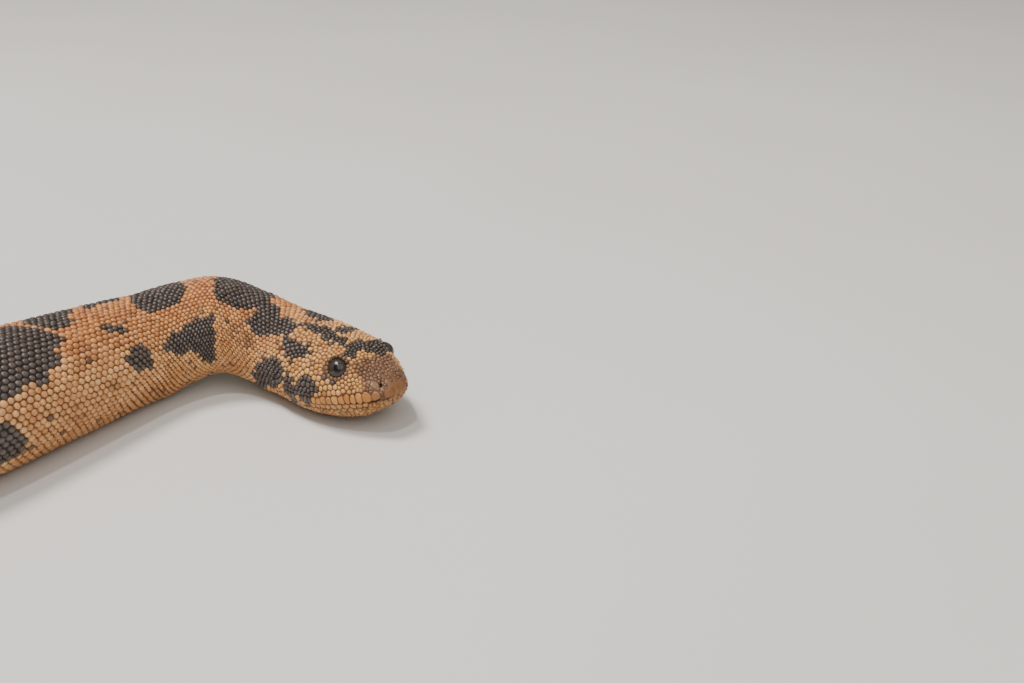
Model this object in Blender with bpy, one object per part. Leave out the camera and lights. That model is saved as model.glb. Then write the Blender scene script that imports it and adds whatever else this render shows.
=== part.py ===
# Kenyan sand boa, adult, life size, resting on the floor.
# Lengths are in millimetres along the body from the snout tip, heights from the floor.
# The mesh itself is written in metres, +Z up, with the origin under the middle of the animal.

import math

import bmesh
import bpy
import numpy as np
from mathutils import Vector

MM = 0.001
GAP = 0.3

# Where each length of the body ends, from the snout tip.
HEAD_END = 26.0
NECK_END = 90.0
FRONT_END = 173.0
MIDDLE_END = 346.0
REAR_END = 516.0
VENT = 625.0
TOTAL_LENGTH = 680.0

# The line of the body on the floor: heading at the snout in degrees (from snout to tail),
# then bends as (start, end, degrees to the left).
SNOUT_HEADING = 138.0
BENDS = (
    (18, 78, 97),
    (96, 250, -150),
    (262, 430, 170),
    (442, 590, -140),
    (600, 675, 50),
)

# How far the chin and the arch of the neck are held off the floor.
LIFT = (
    (0, 2.5), (6, 1.66), (12, 0.83), (16, 0.32), (20, 0.04), (24, 0),
    (32, 0), (40, 1.55), (48.5, 3.3), (57, 1.6), (65.5, 0), (680, 0),
)

# Half the width of the body, as (distance, size).
HALF_WIDTH = (
    (0, 0), (0.12, 2.2), (0.4, 3.2), (1.2, 4.3), (2.5, 5.3), (5, 6.9), (8, 8.6),
    (12, 9.9), (17, 10.7), (22, 10.9), (28, 10.7), (36, 10.7), (46, 11.2), (70, 12.6),
    (110, 14.8), (170, 16.8), (260, 18.2), (380, 18.4), (470, 17.2), (550, 15.0),
    (610, 12.6), (630, 11.0), (650, 8.2), (668, 4.8), (677, 2.4), (679.6, 0.9), (680, 0),
)

# Height of the back over the belly.
BACK = (
    (0, 6.9), (0.12, 7.6), (0.4, 8.2), (1.2, 9.0), (2.5, 10.0), (5, 11.6), (8, 13.2),
    (12, 14.8), (17, 16.1), (22, 16.5), (28, 16.7), (36, 17.4), (46, 19.0), (70, 21.8),
    (110, 25.8), (170, 29), (260, 31.2), (380, 31.6), (470, 29.6), (550, 26.2),
    (610, 22.2), (630, 19.6), (650, 15.2), (668, 9.6), (677, 5.2), (679.6, 3.4), (680, 2.4),
)

# Height of the underside. The snout overhangs, and the tail tip curls up a little.
UNDERSIDE = (
    (0, 6.9), (0.12, 6.2), (0.4, 5.8), (1.1, 5.45), (1.6, 4.8), (2.1, 3.5), (3.2, 2.5),
    (5, 1.4), (8, 0.6), (12, 0), (668, 0), (677, 0.4), (679.6, 1.5), (680, 2.4),
)

# Height of the widest line of the flank.
WIDEST = (
    (0, 6.9), (0.4, 6.8), (1.2, 6.6), (5, 6.0), (10, 5.5), (16, 5.2), (22, 5.6),
    (30, 6.8), (40, 8.2), (46, 9.0), (70, 10.4), (110, 12.1), (170, 13.6), (260, 14.6),
    (380, 14.8), (470, 13.8), (550, 12.2), (610, 10.3), (630, 9.0), (650, 7.0),
    (668, 4.6), (677, 2.9), (680, 2.4),
)

# 2 is an ellipse over the widest line, more is squarer, as the head is.
SQUARENESS = ((0, 2.0), (3, 2.15), (8, 2.35), (22, 2.3), (34, 2.05), (50, 2.0), (680, 2.0))

# The belly half of the section reaches this much under the floor before it is laid flat.
BELLY_PRESS = 1.12

# Height of the mouth line over the belly level, and how far back the lower jaw's tip is.
MOUTH = ((0, 5.4), (2, 5.4), (5, 5.25), (10, 4.85), (15, 4.5), (20, 4.3), (26, 4.6))
JAW_TIP = 2.0
JAW_ROUND = 3.2
LIP_TUCK = 0.28
LIP_HEIGHT = 0.45

# Eyes: distance from the snout, angle from the crown on the right (1) and left (-1), size,
# and how far each stands proud. The head leans a little, so the left eye sits lower.
EYE_AT = 10.2
EYE_ANGLE = {1: 42.0, -1: 45.5}
EYE_RADIUS = 2.3
EYE_PROUD = 0.6

# Nostrils: slits on the front of the snout, leaning down and forward. Half length, half
# width, depth, and the lean from straight ahead in degrees.
NOSTRIL_AT = 1.8
NOSTRIL_ANGLE = 31.0
NOSTRIL_SIZE = (0.75, 0.3, 0.6)
NOSTRIL_SLANT = 55.0

# Gentle relief of the head: (distance, spread, angle, spread in degrees, height).
HEAD_RELIEF = (
    (11.0, 3.2, 38, 11, 0.45),
    (6.4, 2.0, 60, 14, -0.3),
    (19.5, 4.5, 72, 20, 0.35),
    (10.0, 2.6, 26, 6.5, 0.6),
)

# How finely the solids are divided.
BODY_STEP = 6.0
NECK_STEP = 3.2
HEAD_STEP = 1.5
UPPER_ANGLES = 9
LOWER_ANGLES = 5

SKIN_COLOUR = (0.60, 0.24, 0.08)
CHIN_COLOUR = (0.62, 0.44, 0.27)
BELLY_COLOUR = (0.58, 0.28, 0.11)
EYE_COLOUR = (0.012, 0.013, 0.014)


def clear_scene():
    for old in list(bpy.data.objects):
        bpy.data.objects.remove(old, do_unlink=True)


def through(knots, distance):
    """A smooth curve through the knots that never overshoots them."""
    x = np.array([knot[0] for knot in knots], float)
    y = np.array([knot[1] for knot in knots], float)
    step = np.diff(x)
    slope = np.diff(y) / step
    tangent = np.concatenate([[slope[0]], np.zeros(len(x) - 2), [slope[-1]]])
    for i in range(1, len(x) - 1):
        if slope[i - 1] * slope[i] > 0:
            before = 2 * step[i] + step[i - 1]
            after = step[i] + 2 * step[i - 1]
            tangent[i] = (before + after) / (before / slope[i - 1] + after / slope[i])
    i = int(np.clip(np.searchsorted(x, distance, side="right") - 1, 0, len(x) - 2))
    t = (distance - x[i]) / step[i]
    return float(
        (2 * t**3 - 3 * t**2 + 1) * y[i]
        + (t**3 - 2 * t**2 + t) * step[i] * tangent[i]
        + (-2 * t**3 + 3 * t**2) * y[i + 1]
        + (t**3 - t**2) * step[i] * tangent[i + 1]
    )


def smooth_step(t):
    t = min(max(t, 0.0), 1.0)
    return t * t * (3 - 2 * t)


def heading(distance):
    """Direction of travel from snout to tail, in radians."""
    degrees = SNOUT_HEADING
    for start, end, turn in BENDS:
        degrees += turn * smooth_step((distance - start) / (end - start))
    return math.radians(degrees)


def walk_body_line(step=0.25):
    """Points of the body's line on the floor, one for each step from the snout."""
    x = y = 0.0
    points = [(x, y)]
    for i in range(int(TOTAL_LENGTH / step)):
        way = heading((i + 0.5) * step)
        x += math.cos(way) * step
        y += math.sin(way) * step
        points.append((x, y))
    return np.array(points), step


BODY_LINE, LINE_STEP = walk_body_line()


def line_point(distance):
    place = distance / LINE_STEP
    i = int(min(max(place, 0), len(BODY_LINE) - 2))
    return BODY_LINE[i] + (BODY_LINE[i + 1] - BODY_LINE[i]) * (place - i)


def relief(distance, degrees):
    """How far the brow, snout and cheek swell or sink, in millimetres."""
    total = 0.0
    for at, spread, angle, angle_spread, height in HEAD_RELIEF:
        along = ((distance - at) / spread) ** 2
        around = ((abs(degrees) - angle) / angle_spread) ** 2
        total += height * math.exp(-along - around)
    return total


def section_point(distance, degrees):
    """Sideways place and height of the skin; 0 degrees is the crown, + the animal's right."""
    angle = math.radians(degrees)
    across = math.sin(angle)
    up = math.cos(angle)
    half = through(HALF_WIDTH, distance)
    widest = through(WIDEST, distance)
    if up >= 0:
        power = 2 / through(SQUARENESS, distance)
        side = half * math.copysign(abs(across) ** power, across)
        height = widest + (through(BACK, distance) - widest) * up**power
    else:
        low = through(UNDERSIDE, distance)
        side = half * across
        height = max(widest + (widest - low) * BELLY_PRESS * up, low)
    swell = relief(distance, degrees)
    return side + swell * across, height + swell * max(up, 0.0)


def place(distance, side, height, ahead=0.0):
    """A point of the section in the world; ahead moves it along the body, past its plane."""
    x, y = line_point(distance)
    way = heading(distance)
    x += ahead * math.cos(way) - side * math.sin(way)
    y += ahead * math.sin(way) + side * math.cos(way)
    return Vector((x, y, height + through(LIFT, distance)))


def section_angles():
    """Angles round a whole section, with a corner where the flat of the belly begins."""
    flat_starts = math.degrees(math.acos(-1 / BELLY_PRESS))
    upper = [90 * i / UPPER_ANGLES for i in range(UPPER_ANGLES + 1)]
    lower = [90 + (flat_starts - 90) * i / LOWER_ANGLES for i in range(1, LOWER_ANGLES + 1)]
    right = upper + lower
    return [-a for a in reversed(right[1:])] + right + [180.0]


def ring(distance, ahead=0.0):
    return [place(distance, *section_point(distance, a), ahead) for a in section_angles()]


def distances(start, end, step):
    count = max(2, round((end - start) / step))
    return [start + (end - start) * i / count for i in range(count + 1)]


def loft(name, rings, start_point=None, end_point=None):
    """A closed body through rings of points, ending in flats or in single points."""
    shape = bmesh.new()
    rows = [[shape.verts.new(point) for point in points] for points in rings]
    for row, following in zip(rows, rows[1:]):
        for i in range(len(row)):
            j = (i + 1) % len(row)
            shape.faces.new((row[i], row[j], following[j], following[i]))
    for row, point in ((rows[0], start_point), (rows[-1], end_point)):
        if point is None:
            shape.faces.new(row)
        else:
            tip = shape.verts.new(point)
            for i in range(len(row)):
                shape.faces.new((row[i], row[(i + 1) % len(row)], tip))
    bmesh.ops.recalc_face_normals(shape, faces=shape.faces)
    bmesh.ops.triangulate(shape, faces=shape.faces)
    mesh = bpy.data.meshes.new(name)
    shape.to_mesh(mesh)
    shape.free()
    node = bpy.data.objects.new(name, mesh)
    bpy.context.scene.collection.objects.link(node)
    return node


def body_length(name, start, end, step):
    """One length of the body between two cuts, each end square to the body line."""
    rings = [ring(d) for d in distances(start, end, step)]
    rings[0] = ring(start, GAP / 2)
    rings[-1] = ring(end, -GAP / 2)
    return loft(name, rings)


def tail():
    stops = distances(VENT, 650, 5) + [656, 662, 668, 673, 677, 678.8, 679.6]
    rings = [ring(d) for d in stops]
    rings[0] = ring(VENT, GAP / 2)
    tip = place(TOTAL_LENGTH, 0, through(BACK, TOTAL_LENGTH))
    return loft("tail", rings, end_point=tip)


def mouth_angle(distance, height):
    """Angle at which the flank comes down to the given height."""
    low, high = 60.0, 150.0
    for _ in range(40):
        middle = (low + high) / 2
        if section_point(distance, middle)[1] > height:
            low = middle
        else:
            high = middle
    return low


def lip_side(distance, degrees, level):
    """Skin point with the lip tucked in where it meets the mouth line."""
    side, height = section_point(distance, degrees)
    close = max(0.0, 1 - abs(height - level) / LIP_HEIGHT)
    return side - math.copysign(LIP_TUCK * close**2, side), height


def upper_ring(distance, ahead=0.0):
    """Head section over the mouth line, closed by a flat roof of the mouth."""
    level = through(MOUTH, distance) + GAP / 2
    lowest = section_point(distance, 180)[1]
    limit = 180.0 if lowest >= level else mouth_angle(distance, level)
    spread = [-limit + 2 * limit * i / (2 * UPPER_ANGLES + 6) for i in range(2 * UPPER_ANGLES + 7)]
    if limit == 180.0:
        points = [section_point(distance, a) for a in spread]
        points[0] = (-0.15, points[0][1])
        points[-1] = (0.15, points[-1][1])
    else:
        points = [lip_side(distance, a, level) for a in spread]
    return [place(distance, side, height, ahead) for side, height in points]


def jaw_ring(distance, ahead=0.0):
    """Lower jaw section under the mouth line, rounded towards its tip."""
    level = through(MOUTH, distance) - GAP / 2
    limit = mouth_angle(distance, level)
    t = min((distance - JAW_TIP) / JAW_ROUND, 1.0)
    narrow = math.sqrt(1 - (1 - t) ** 2)
    count = 2 * LOWER_ANGLES + 3
    spread = [limit + (360 - 2 * limit) * i / count for i in range(count + 1)]
    points = []
    for angle in spread:
        side, height = section_point(distance, angle if angle <= 180 else angle - 360)
        close = max(0.0, 1 - (level - height) / LIP_HEIGHT)
        side -= math.copysign(LIP_TUCK * close**2, side)
        points.append((side * narrow, level - (level - height) * narrow))
    return [place(distance, side, height, ahead) for side, height in points]


def skin_frame(distance, degrees):
    """Point of the skin, its outward direction and the direction towards the tail."""
    here = place(distance, *section_point(distance, degrees))
    around = place(distance, *section_point(distance, degrees + 1)) - here
    along = place(distance + 0.1, *section_point(distance + 0.1, degrees)) - here
    outward = around.cross(along).normalized()
    middle = place(distance, 0, through(WIDEST, distance))
    if outward.dot(here - middle) < 0:
        outward.negate()
    return here, outward, along.normalized()


def ball(name, centre, radius, segments, rings):
    shape = bmesh.new()
    bmesh.ops.create_uvsphere(shape, u_segments=segments, v_segments=rings, radius=radius)
    bmesh.ops.translate(shape, verts=shape.verts, vec=centre)
    mesh = bpy.data.meshes.new(name)
    shape.to_mesh(mesh)
    shape.free()
    node = bpy.data.objects.new(name, mesh)
    bpy.context.scene.collection.objects.link(node)
    return node


def eye_centre(side):
    here, outward, _ = skin_frame(EYE_AT, side * EYE_ANGLE[side])
    return here + outward * (EYE_PROUD - EYE_RADIUS)


def nostril_cutter(side):
    here, outward, along = skin_frame(NOSTRIL_AT, side * NOSTRIL_ANGLE)
    cutter = ball("nostril_cutter", Vector((0, 0, 0)), 1.0, 12, 8)
    down = outward.cross(along)
    if down.z > 0:
        down.negate()
    slant = math.radians(NOSTRIL_SLANT)
    lengthwise = down * math.sin(slant) - along * math.cos(slant)
    crosswise = outward.cross(lengthwise)
    long_half, short_half, deep = NOSTRIL_SIZE
    for vertex in cutter.data.vertices:
        x, y, z = vertex.co
        vertex.co = here + lengthwise * (x * long_half) + crosswise * (y * short_half)
        vertex.co += outward * (z * deep)
    fix = bmesh.new()
    fix.from_mesh(cutter.data)
    bmesh.ops.recalc_face_normals(fix, faces=fix.faces)
    fix.to_mesh(cutter.data)
    fix.free()
    return cutter


def cut_away(node, cutters):
    for cutter in cutters:
        cutter.hide_render = True
        cutter.display_type = "WIRE"
        cut = node.modifiers.new("cut", "BOOLEAN")
        cut.operation = "DIFFERENCE"
        cut.solver = "EXACT"
        cut.object = cutter


def head():
    stops = [0.4, 0.8, 1.4, JAW_TIP, 2.8, 3.8, 5.0] + distances(6.2, HEAD_END, HEAD_STEP)
    rings = [upper_ring(0.12)] + [upper_ring(d) for d in stops]
    rings[-1] = upper_ring(HEAD_END, -GAP / 2)
    tip = place(0, 0, through(BACK, 0))
    node = loft("head", rings, start_point=tip)
    sockets = [ball("socket", eye_centre(s), EYE_RADIUS + GAP, 20, 12) for s in (1, -1)]
    cut_away(node, sockets + [nostril_cutter(s) for s in (1, -1)])
    return node


def lower_jaw():
    stops = [JAW_TIP + 0.12, JAW_TIP + 0.5, 3.2, 4.1, 5.2] + distances(6.4, HEAD_END, HEAD_STEP)
    rings = [jaw_ring(d) for d in stops]
    rings[-1] = jaw_ring(HEAD_END, -GAP / 2)
    return loft("lower_jaw", rings)


def paint(node, colour, roughness):
    material = bpy.data.materials.new(node.name)
    material.use_nodes = True
    shader = material.node_tree.nodes["Principled BSDF"]
    shader.inputs["Base Color"].default_value = (*colour, 1.0)
    shader.inputs["Roughness"].default_value = roughness
    shader.inputs["Metallic"].default_value = 0.0
    node.data.materials.append(material)


def shade(node):
    node.data.shade_smooth()
    node.data.set_sharp_from_angle(angle=math.radians(50))


def settle(objects):
    """Turn millimetres into metres and put the origin under the middle of the animal."""
    points = [v.co for node in objects for v in node.data.vertices]
    middle_x = (min(p.x for p in points) + max(p.x for p in points)) / 2
    middle_y = (min(p.y for p in points) + max(p.y for p in points)) / 2
    shift = Vector((middle_x, middle_y, 0))
    for node in objects:
        for vertex in node.data.vertices:
            vertex.co = (vertex.co - shift) * MM


def build():
    clear_scene()
    flesh = [
        body_length("neck", HEAD_END, NECK_END, NECK_STEP),
        body_length("body_front", NECK_END, FRONT_END, BODY_STEP),
        body_length("body_middle", FRONT_END, MIDDLE_END, BODY_STEP),
        body_length("body_rear", MIDDLE_END, REAR_END, BODY_STEP),
        body_length("body_hind", REAR_END, VENT, BODY_STEP),
        tail(),
    ]
    skull = head()
    jaw = lower_jaw()
    eyes = [ball("eye_right", eye_centre(1), EYE_RADIUS, 20, 12)]
    eyes.append(ball("eye_left", eye_centre(-1), EYE_RADIUS, 20, 12))
    for node in flesh:
        paint(node, BELLY_COLOUR, 0.55)
    paint(skull, SKIN_COLOUR, 0.5)
    paint(jaw, CHIN_COLOUR, 0.55)
    for eye in eyes:
        paint(eye, EYE_COLOUR, 0.08)
    for node in flesh + [skull, jaw] + eyes:
        shade(node)
    settle([obj for obj in bpy.data.objects if obj.type == "MESH"])


build()
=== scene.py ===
# %% [markdown]
# A Kenyan sand boa at rest, built scale by scale.
#
# The real animal is one muscular tube in a loose, dry skin. What the eye reads as "snake" is the
# coat: over a thousand beads on the head, some fifty rows of small round scales on the body, and
# blotches whose edges always follow whole scales. So this lesson makes one smooth skin, then lays
# every scale on it as real geometry, and paints scales, not pixels.

# %% Load the frame
import math

import bpy
import numpy as np
from mathutils import Matrix, Vector
from mathutils.bvhtree import BVHTree


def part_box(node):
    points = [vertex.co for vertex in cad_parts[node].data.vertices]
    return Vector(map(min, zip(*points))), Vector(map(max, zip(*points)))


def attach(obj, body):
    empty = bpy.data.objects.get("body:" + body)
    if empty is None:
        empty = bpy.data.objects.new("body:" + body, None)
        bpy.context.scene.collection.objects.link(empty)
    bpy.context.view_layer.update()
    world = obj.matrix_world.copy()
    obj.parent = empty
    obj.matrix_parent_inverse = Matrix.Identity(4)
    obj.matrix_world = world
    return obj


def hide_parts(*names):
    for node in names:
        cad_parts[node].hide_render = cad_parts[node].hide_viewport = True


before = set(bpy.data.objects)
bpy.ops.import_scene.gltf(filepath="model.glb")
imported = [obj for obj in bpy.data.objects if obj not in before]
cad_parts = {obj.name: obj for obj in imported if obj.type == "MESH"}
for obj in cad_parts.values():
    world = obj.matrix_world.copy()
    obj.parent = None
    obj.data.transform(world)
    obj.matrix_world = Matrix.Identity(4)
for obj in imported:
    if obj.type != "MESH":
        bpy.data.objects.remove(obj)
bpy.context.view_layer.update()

# %% [markdown]
# The body's line. A snake is easiest to describe along itself: how far from the snout, and how
# far round from the crown. Every size below is in millimetres and is the same one that the solids
# were built from, so the skin meets them without any fitting.

# %% Sizes along the body
MM = 0.001
TOTAL_LENGTH = 680.0
SNOUT_HEADING = 138.0
BENDS = ((18, 78, 97), (96, 250, -150), (262, 430, 170), (442, 590, -140), (600, 675, 50))
LIFT = (
    (0, 2.5), (6, 1.66), (12, 0.83), (16, 0.32), (20, 0.04), (24, 0),
    (32, 0), (40, 1.55), (48.5, 3.3), (57, 1.6), (65.5, 0), (680, 0),
)
HALF_WIDTH = (
    (0, 0), (0.12, 2.2), (0.4, 3.2), (1.2, 4.3), (2.5, 5.3), (5, 6.9), (8, 8.6),
    (12, 9.9), (17, 10.7), (22, 10.9), (28, 10.7), (36, 10.7), (46, 11.2), (70, 12.6),
    (110, 14.8), (170, 16.8), (260, 18.2), (380, 18.4), (470, 17.2), (550, 15.0),
    (610, 12.6), (630, 11.0), (650, 8.2), (668, 4.8), (677, 2.4), (679.6, 0.9), (680, 0),
)
BACK = (
    (0, 6.9), (0.12, 7.6), (0.4, 8.2), (1.2, 9.0), (2.5, 10.0), (5, 11.6), (8, 13.2),
    (12, 14.8), (17, 16.1), (22, 16.5), (28, 16.7), (36, 17.4), (46, 19.0), (70, 21.8),
    (110, 25.8), (170, 29), (260, 31.2), (380, 31.6), (470, 29.6), (550, 26.2),
    (610, 22.2), (630, 19.6), (650, 15.2), (668, 9.6), (677, 5.2), (679.6, 3.4), (680, 2.4),
)
UNDERSIDE = (
    (0, 6.9), (0.12, 6.2), (0.4, 5.8), (1.1, 5.45), (1.6, 4.8), (2.1, 3.5), (3.2, 2.5),
    (5, 1.4), (8, 0.6), (12, 0), (668, 0), (677, 0.4), (679.6, 1.5), (680, 2.4),
)
WIDEST = (
    (0, 6.9), (0.4, 6.8), (1.2, 6.6), (5, 6.0), (10, 5.5), (16, 5.2), (22, 5.6),
    (30, 6.8), (40, 8.2), (46, 9.0), (70, 10.4), (110, 12.1), (170, 13.6), (260, 14.6),
    (380, 14.8), (470, 13.8), (550, 12.2), (610, 10.3), (630, 9.0), (650, 7.0),
    (668, 4.6), (677, 2.9), (680, 2.4),
)
SQUARENESS = ((0, 2.0), (3, 2.15), (8, 2.35), (22, 2.3), (34, 2.05), (50, 2.0), (680, 2.0))
BELLY_PRESS = 1.12
HEAD_RELIEF = (
    (11.0, 3.2, 38, 11, 0.45), (6.4, 2.0, 60, 14, -0.3), (19.5, 4.5, 72, 20, 0.35),
    (10.0, 2.6, 26, 6.5, 0.6),
)
MOUTH = ((0, 5.4), (2, 5.4), (5, 5.25), (10, 4.85), (15, 4.5), (20, 4.3), (26, 4.6))
MOUTH_CORNER = 23.0
EYE_AT = 10.2
EYE_ANGLE = {1: 42.0, -1: 45.5}
EYE_RADIUS = 2.3
EYE_PROUD = 0.6
NOSTRIL_AT = 1.8
NOSTRIL_ANGLE = 31.0
NOSTRIL_SLANT = 55.0


# %% Curves through sizes
def through(knots, at):
    """A smooth curve through the knots that never overshoots them, for an array of places."""
    x, y = np.array(knots, float).T
    step = np.diff(x)
    slope = np.diff(y) / step
    tangent = np.concatenate([[slope[0]], np.zeros(len(x) - 2), [slope[-1]]])
    for i in range(1, len(x) - 1):
        if slope[i - 1] * slope[i] > 0:
            before = 2 * step[i] + step[i - 1]
            after = step[i] + 2 * step[i - 1]
            tangent[i] = (before + after) / (before / slope[i - 1] + after / slope[i])
    at = np.clip(np.asarray(at, float), x[0], x[-1])
    i = np.clip(np.searchsorted(x, at, side="right") - 1, 0, len(x) - 2)
    t = (at - x[i]) / step[i]
    return (
        (2 * t**3 - 3 * t**2 + 1) * y[i]
        + (t**3 - 2 * t**2 + t) * step[i] * tangent[i]
        + (-2 * t**3 + 3 * t**2) * y[i + 1]
        + (t**3 - t**2) * step[i] * tangent[i + 1]
    )


def ease(t):
    """0 up to 0, 1 from 1 on, and a soft rise in between."""
    t = np.clip(t, 0, 1)
    return t * t * (3 - 2 * t)


def heading(along):
    """Direction of the body's line, from the snout towards the tail."""
    degrees = np.full_like(np.asarray(along, float), SNOUT_HEADING)
    for start, end, turn in BENDS:
        degrees = degrees + turn * ease((along - start) / (end - start))
    return np.radians(degrees)


LINE_STEP = 0.25
LINE_AT = np.arange(0, TOTAL_LENGTH + LINE_STEP, LINE_STEP)
line_middle = heading(LINE_AT[:-1] + LINE_STEP / 2)
LINE_X = np.concatenate([[0], np.cumsum(np.cos(line_middle) * LINE_STEP)])
LINE_Y = np.concatenate([[0], np.cumsum(np.sin(line_middle) * LINE_STEP)])
print("body line ends", round(LINE_X[-1], 1), round(LINE_Y[-1], 1), "mm from the snout")


# %% Sections, and the surface of the solids
def relief(along, degrees):
    """How far the head's soft swellings stand out from its plain section."""
    total = 0.0
    for at, spread, angle, angle_spread, height in HEAD_RELIEF:
        around = (np.abs(degrees) - angle) / angle_spread
        total = total + height * np.exp(-(((along - at) / spread) ** 2) - around**2)
    return total


def section(along, degrees):
    """Sideways place and height of the solids' surface, before the body is lifted or bent."""
    angle = np.radians(degrees)
    across, up = np.sin(angle), np.cos(angle)
    half, widest = through(HALF_WIDTH, along), through(WIDEST, along)
    power = 2 / through(SQUARENESS, along)
    low = through(UNDERSIDE, along)
    side_up = half * np.sign(across) * np.abs(across) ** power
    top = widest + (through(BACK, along) - widest) * np.abs(up) ** power
    bottom = np.maximum(widest + (widest - low) * BELLY_PRESS * up, low)
    swell = relief(along, degrees)
    side = np.where(up >= 0, side_up, half * across) + swell * across
    return side, np.where(up >= 0, top, bottom) + swell * np.maximum(up, 0)


def in_world(along, side, height):
    """Points in millimetres, counted from the snout tip's place on the floor."""
    way = heading(along)
    x = np.interp(along, LINE_AT, LINE_X) - side * np.sin(way)
    y = np.interp(along, LINE_AT, LINE_Y) + side * np.cos(way)
    return np.stack(np.broadcast_arrays(x, y, height + through(LIFT, along)), -1)


def surface(along, degrees):
    """Points on the solids, by distance from the snout and degrees round from the crown."""
    along, degrees = np.broadcast_arrays(np.asarray(along, float), np.asarray(degrees, float))
    return in_world(along, *section(along, degrees))


def outward(along, degrees):
    """Unit direction out of the surface, from its slopes along and around the body."""
    along, degrees = np.broadcast_arrays(np.asarray(along, float), np.asarray(degrees, float))
    near, turn = 0.05, 1.5
    here = np.maximum(along, near + 0.01)
    slope_along = surface(here + near, degrees) - surface(here - near, degrees)
    slope_around = surface(here, degrees + turn) - surface(here, degrees - turn)
    normal = np.cross(slope_along, slope_around)
    return normal / np.maximum(np.linalg.norm(normal, axis=-1, keepdims=True), 1e-9)


probe = outward(np.array([60.0]), np.array([0.0]))[0]
OUT_SIGN = 1.0 if probe[2] > 0 else -1.0
print("crown normal at the neck", probe.round(2))

# %% [markdown]
# Tying the line to the solids. The right eye's solid is a ball, so the middle of its box is its
# exact centre. The same ball is placed here from the sizes above, and the difference between the
# two places is the shift from the snout's own origin to the frame's.

# %% Shift into the frame
def eye_frame(side):
    """Centre of an eyeball and the direction it looks in."""
    at, angle = np.array([EYE_AT]), np.array([side * EYE_ANGLE[side]])
    here = surface(at, angle)[0]
    along = surface(at + 0.1, angle)[0] - here
    around = surface(at, angle + 1.0)[0] - here
    look = np.cross(around, along)
    look = look / np.linalg.norm(look)
    middle = in_world(at, np.zeros(1), through(WIDEST, at))[0]
    if np.dot(look, here - middle) < 0:
        look = -look
    return here + look * (EYE_PROUD - EYE_RADIUS), look


eye_low, eye_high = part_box("eye_right")
SHIFT = eye_frame(1)[0] - np.array((eye_low + eye_high) / 2) / MM
SHIFT[2] = 0.0
print("snout tip stands at", (-SHIFT).round(2), "mm")


def to_frame(points):
    """Millimetres from the snout, as metres in the frame."""
    return (np.asarray(points, float) - SHIFT) * MM


# %% [markdown]
# The camera stands low on the animal's right side. It looks down by 25 degrees, is rolled by one
# degree and has a moderately long lens, so the head is small in the picture, as in a snapshot.

# %% Camera
PITCH = math.radians(25)
ROLL = math.radians(1)
CAMERA_PLACE = (22.59, -211.29, 119.16)
LENS_PIXELS = 1200.0
FRAME_PIXELS = 1024.0
SENSOR = 36.0

forward = Vector((0, math.cos(PITCH), -math.sin(PITCH)))
level = Vector((1, 0, 0))
upright = level.cross(forward)
right = level * math.cos(ROLL) + upright * math.sin(ROLL)
above = upright * math.cos(ROLL) - level * math.sin(ROLL)
bpy.ops.object.camera_add(location=to_frame(CAMERA_PLACE))
camera = bpy.context.object
camera.name = "view"
camera.rotation_euler = Matrix((right, above, -forward)).transposed().to_euler()
camera.data.lens = SENSOR * LENS_PIXELS / FRAME_PIXELS
camera.data.sensor_width = SENSOR
camera.data.clip_start = 0.005
camera.data.clip_end = 20
camera.data.dof.use_dof = False
bpy.context.scene.camera = camera
print("camera", [round(v, 4) for v in camera.location], "lens", camera.data.lens)

# %% [markdown]
# A pale floor and soft light. The animal is only thirty millimetres high, so the lamps are large
# beside it: a warm key nearly overhead, a broad fill from above the camera and a small, harder
# lamp whose glints sit on top of each scale.

# %% Floor and lights
def deselect():
    bpy.ops.object.select_all(action="DESELECT")


def area_light(name, offset, size, power, colour=(1, 1, 1)):
    """A round lamp, placed by its offset in metres from the neck and turned to it."""
    place = NECK_PLACE + Vector(offset)
    deselect()
    bpy.ops.object.light_add(type="AREA", location=place)
    lamp = bpy.context.object
    lamp.name = name
    lamp.data.shape = "DISK"
    lamp.data.size = size
    lamp.data.energy = power
    lamp.data.color = colour
    lamp.rotation_euler = (NECK_PLACE - place).to_track_quat("-Z", "Y").to_euler()


deselect()
bpy.ops.mesh.primitive_plane_add(size=6)
floor = bpy.context.object
floor.name = "floor"
NECK_PLACE = Vector(to_frame((-30, 0, 10)))
area_light("key", (-0.35, 0.1, 0.95), 0.32, 11.5, (1, 0.96, 0.9))
area_light("fill", (0.35, -0.75, 0.85), 1.3, 8.2, (1, 0.97, 0.93))
area_light("glint", (-0.1, -0.2, 0.8), 0.06, 2.0)
world = bpy.data.worlds.new("studio")
bpy.context.scene.world = world
world.use_nodes = True
backdrop = world.node_tree.nodes["Background"].inputs
backdrop["Color"].default_value = (0.90, 0.87, 0.82, 1)
backdrop["Strength"].default_value = 0.38
print("lamps stand round", [round(v, 3) for v in NECK_PLACE])

# %% [markdown]
# Shader maths reads best as plain arithmetic. A small class wraps a socket, so that adding two
# of them adds the Math node and its links.


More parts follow.
